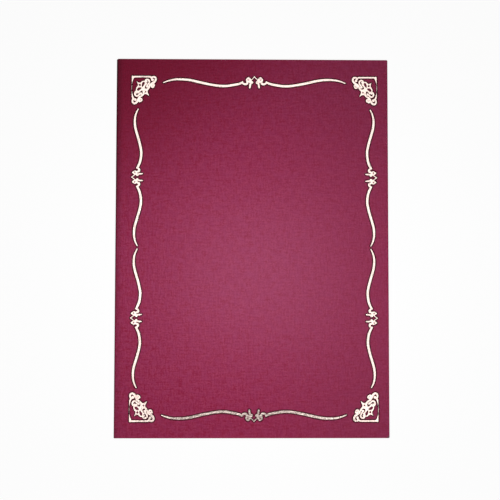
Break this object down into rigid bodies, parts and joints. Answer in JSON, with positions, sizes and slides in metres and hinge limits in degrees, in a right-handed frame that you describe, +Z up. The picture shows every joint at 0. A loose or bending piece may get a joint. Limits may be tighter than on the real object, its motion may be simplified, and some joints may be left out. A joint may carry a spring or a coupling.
{
  "type": "diploma cover",
  "caption": "Folded burgundy card diploma cover with a pale gold foil frame of scrolls and wavy lines; the front opens at the fold and slits inside hold the sheet",
  "frame": {"origin": "under the middle of the closed cover, on the surface that its back cover lies on", "axes": "+X runs from the fold to the open edge, +Y up the page, +Z up out of the front cover"},
  "size_m": [0.22, 0.305, 0.0025],
  "materials": {
    "burgundy_card": "fine linen embossed, slight sheen",
    "gold_foil": "hot stamped metallic foil, bright"
  },
  "bodies": {
    "back": {"back_cover": "burgundy_card", "spine_fold": "burgundy_card"},
    "front": {"front_cover": "burgundy_card", "foil_corner_top_left": "gold_foil", "foil_corner_top_right": "gold_foil", "foil_corner_bottom_left": "gold_foil", "foil_corner_bottom_right": "gold_foil", "foil_run_top": "gold_foil", "foil_run_bottom": "gold_foil", "foil_run_left_upper": "gold_foil", "foil_run_left_lower": "gold_foil", "foil_run_right_upper": "gold_foil", "foil_run_right_lower": "gold_foil"}
  },
  "joints": [
    {"name": "front_cover_hinge", "type": "hinge", "parent": "back", "child": "front", "pos_m": [-0.1088, 0, 0.0012], "axis": [0, -1, 0], "range_deg": [0, 180], "deforming": ["spine_fold"]}
  ]
}
